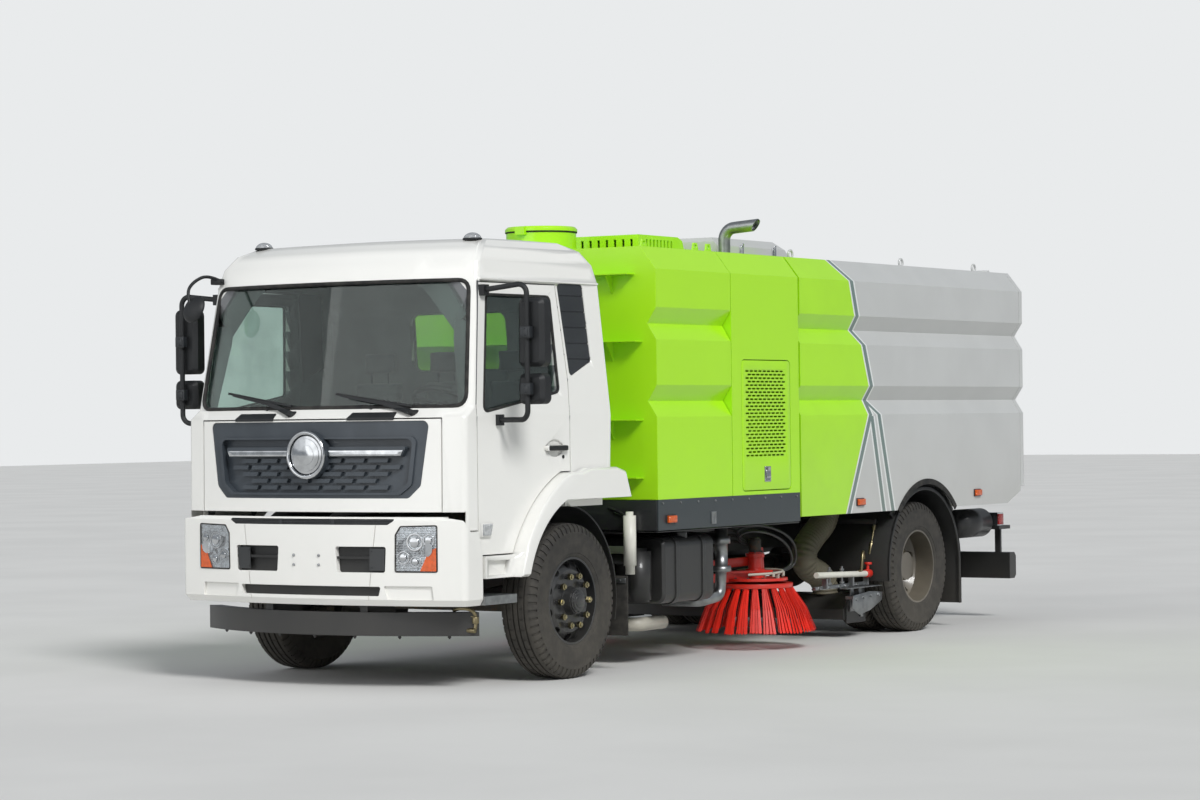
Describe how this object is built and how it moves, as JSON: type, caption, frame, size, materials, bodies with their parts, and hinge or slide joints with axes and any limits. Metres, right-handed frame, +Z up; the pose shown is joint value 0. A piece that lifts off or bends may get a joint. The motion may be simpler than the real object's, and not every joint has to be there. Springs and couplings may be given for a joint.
{
  "type": "street sweeper truck",
  "caption": "Two-axle washer-sweeper truck with a tipping faceted hopper, water tank, engine bay, side brushes and a suction nozzle; wheels, steering, doors, hopper and tools move.",
  "frame": {"origin": "on the ground at the middle of the whole vehicle", "axes": "+Z up, -Y to the front of the truck, +X to the vehicle's left"},
  "size_m": [3, 8.178, 3.1529],
  "materials": {
    "cab_white": "gloss",
    "body_green": "gloss",
    "body_grey": "gloss",
    "frame_black": "satin",
    "skirt_grey": "satin",
    "plastic_black": "matte",
    "glass": "gloss",
    "lamp_clear": "gloss",
    "cast": "rough",
    "tyre": "matte",
    "wheel_black": "satin",
    "steel": "brushed",
    "brush_red": "matte",
    "arm_red": "gloss",
    "rubber": "matte",
    "fabric_grey": "woven"
  },
  "bodies": {
    "chassis": {"chassis_frame": "frame_black", "front_axle": "cast", "rear_axle": "cast", "leaf_springs": "frame_black", "drive_line": "cast", "fuel_tank": "frame_black", "air_tanks": "frame_black", "battery_box": "frame_black", "rear_mudguards": "rubber", "underrun": "frame_black", "cab_shell": "cab_white", "windscreen": "glass", "quarter_panels": "plastic_black", "cab_interior": "fabric_grey", "bumper": "cab_white", "lamps": "lamp_clear", "bumper_inserts": "plastic_black", "spray_bar": "frame_black", "cab_steps": "steel", "front_mudguards": "plastic_black", "wipers": "plastic_black", "water_tank": "body_green", "engine_bay": "body_green", "sweep_engine": "cast", "side_skirts": "skirt_grey", "roof_housings": "body_green", "exhaust": "steel"},
    "front_flap": {"front_flap": "cab_white", "grille": "plastic_black"},
    "steering_wheel": {"steering_wheel": "plastic_black"},
    "hopper": {"hopper": "body_grey", "fan_box": "body_grey"},
    "tail_door": {"tail_door": "body_grey"},
    "tip_barrels": {"tip_barrels": "frame_black"},
    "tip_rods": {"tip_rods": "steel"},
    "nozzle": {"nozzle": "frame_black", "suction_hose": "rubber"},
    "door_left": {"door_left": "cab_white", "door_glass_left": "glass", "mirrors_left": "plastic_black"},
    "knuckle_left": {"knuckle_left": "cast"},
    "wheel_front_left": {"wheel_front_left": "wheel_black", "tyre_front_left": "tyre"},
    "wheel_rear_left": {"wheel_rear_left": "wheel_black", "tyre_rear_left": "tyre"},
    "engine_door_left": {"engine_door_left": "body_green"},
    "brush_arm_left": {"brush_arm_left": "arm_red"},
    "brush_left": {"brush_left": "brush_red"},
    "door_right": {"door_right": "cab_white", "door_glass_right": "glass", "mirrors_right": "plastic_black"},
    "knuckle_right": {"knuckle_right": "cast"},
    "wheel_front_right": {"wheel_front_right": "wheel_black", "tyre_front_right": "tyre"},
    "wheel_rear_right": {"wheel_rear_right": "wheel_black", "tyre_rear_right": "tyre"},
    "engine_door_right": {"engine_door_right": "body_green"},
    "brush_arm_right": {"brush_arm_right": "arm_red"},
    "brush_right": {"brush_right": "brush_red"}
  },
  "joints": [
    {"name": "steer_left", "type": "hinge", "parent": "chassis", "child": "knuckle_left", "pos_m": [0.87, -2.755, 0.51], "axis": [0, 0, 1], "range_deg": [-35, 35]},
    {"name": "steer_right", "type": "hinge", "parent": "chassis", "child": "knuckle_right", "pos_m": [-0.87, -2.755, 0.51], "axis": [0, 0, 1], "range_deg": [-35, 35]},
    {"name": "wheel_front_left", "type": "hinge", "parent": "knuckle_left", "child": "wheel_front_left", "pos_m": [1.04, -2.755, 0.51], "axis": [1, 0, 0], "continuous": true},
    {"name": "wheel_rear_left", "type": "hinge", "parent": "chassis", "child": "wheel_rear_left", "pos_m": [0.887, 2.245, 0.51], "axis": [1, 0, 0], "continuous": true},
    {"name": "door_left", "type": "hinge", "parent": "chassis", "child": "door_left", "pos_m": [1.116, -3.775, 1.6], "axis": [0, 0, -1], "range_deg": [0, 70]},
    {"name": "engine_door_left", "type": "hinge", "parent": "chassis", "child": "engine_door_left", "pos_m": [1.25, -0.3, 2.104], "axis": [0, -1, 0], "range_deg": [0, 90]},
    {"name": "brush_swing_left", "type": "hinge", "parent": "chassis", "child": "brush_arm_left", "pos_m": [0.56, -0.33, 0.52], "axis": [0, 0, -1], "range_deg": [0, 30]},
    {"name": "brush_spin_left", "type": "hinge", "parent": "brush_arm_left", "child": "brush_left", "pos_m": [0.86, 0.18, 0.45], "axis": [0, 0, 1], "continuous": true},
    {"name": "wheel_front_right", "type": "hinge", "parent": "knuckle_right", "child": "wheel_front_right", "pos_m": [-1.04, -2.755, 0.51], "axis": [1, 0, 0], "continuous": true},
    {"name": "wheel_rear_right", "type": "hinge", "parent": "chassis", "child": "wheel_rear_right", "pos_m": [-0.887, 2.245, 0.51], "axis": [1, 0, 0], "continuous": true},
    {"name": "door_right", "type": "hinge", "parent": "chassis", "child": "door_right", "pos_m": [-1.116, -3.775, 1.6], "axis": [0, 0, 1], "range_deg": [0, 70]},
    {"name": "engine_door_right", "type": "hinge", "parent": "chassis", "child": "engine_door_right", "pos_m": [-1.25, -0.3, 2.104], "axis": [0, 1, 0], "range_deg": [0, 90]},
    {"name": "brush_swing_right", "type": "hinge", "parent": "chassis", "child": "brush_arm_right", "pos_m": [-0.56, -0.33, 0.52], "axis": [0, 0, 1], "range_deg": [0, 30]},
    {"name": "brush_spin_right", "type": "hinge", "parent": "brush_arm_right", "child": "brush_right", "pos_m": [-0.86, 0.18, 0.45], "axis": [0, 0, 1], "continuous": true},
    {"name": "steering_wheel", "type": "hinge", "parent": "chassis", "child": "steering_wheel", "pos_m": [0.56, -3.33, 1.79], "axis": [0, 0.5736, 0.8192], "range_deg": [-525, 525]},
    {"name": "front_flap", "type": "hinge", "parent": "chassis", "child": "front_flap", "pos_m": [0, -4.05, 1.712], "axis": [-1, 0, 0], "range_deg": [0, 60]},
    {"name": "hopper_tip", "type": "hinge", "parent": "chassis", "child": "hopper", "pos_m": [0, 3.64, 0.88], "axis": [-1, 0, 0], "range_deg": [0, 45]},
    {"name": "tail_door", "type": "hinge", "parent": "hopper", "child": "tail_door", "pos_m": [0, 4.034, 2.874], "axis": [1, 0, 0], "range_deg": [0, 75]},
    {"name": "ram_swing", "type": "hinge", "parent": "chassis", "child": "tip_barrels", "pos_m": [0, 1.85, 0.76], "axis": [1, 0, 0], "range_deg": [0, 15.12]},
    {"name": "ram_slide", "type": "slide", "parent": "tip_barrels", "child": "tip_rods", "axis": [0, 0.9933, 0.1159], "range_m": [0, 0.2864]},
    {"name": "nozzle_drop", "type": "hinge", "parent": "chassis", "child": "nozzle", "pos_m": [0, 1.13, 0.56], "axis": [-1, 0, 0], "range_deg": [0, 6]}
  ],
  "couplings": [
    {"joint": "steer_right", "follows": "steer_left", "ratio": 1},
    {"joint": "steering_wheel", "follows": "steer_left", "ratio": 15},
    {"joint": "ram_swing", "follows": "hopper_tip", "ratio": 0.3339},
    {"joint": "ram_slide", "follows": "hopper_tip", "m_per_rad": 0.3621}
  ]
}
